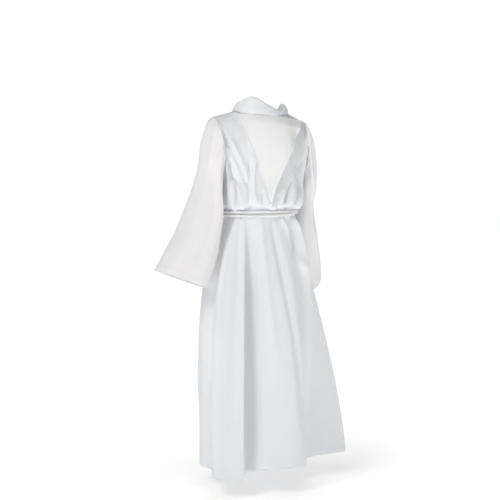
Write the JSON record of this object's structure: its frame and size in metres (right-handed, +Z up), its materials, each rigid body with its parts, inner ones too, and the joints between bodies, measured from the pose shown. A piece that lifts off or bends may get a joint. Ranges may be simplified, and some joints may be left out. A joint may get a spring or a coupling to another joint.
{
  "type": "alb robe",
  "caption": "Child's white hooded alb, worn: floor-length pleated robe with wide sleeves, a flat pointed hood on the back, a soft neck roll and a cord tied at the waist.",
  "frame": {"origin": "midway between the shoulder points, where the wearer's shoulders carry the robe", "axes": "+Z up to the head, +Y to the wearer's back, +X to the wearer's left"},
  "size_m": [0.6239, 0.3749, 1.0492],
  "materials": {
    "cloth": "smooth pressed poly-cotton, matt with a faint sheen",
    "cord": "twisted white cord"
  },
  "bodies": {
    "root": {"back": "cloth", "front": "cloth", "sleeve_left": "cloth", "sleeve_right": "cloth", "hood": "cloth", "neck_roll": "cloth", "cincture_wraps": "cord", "cincture_knot": "cord", "cincture_end_left": "cord", "cincture_end_right": "cord"}
  },
  "joints": []
}
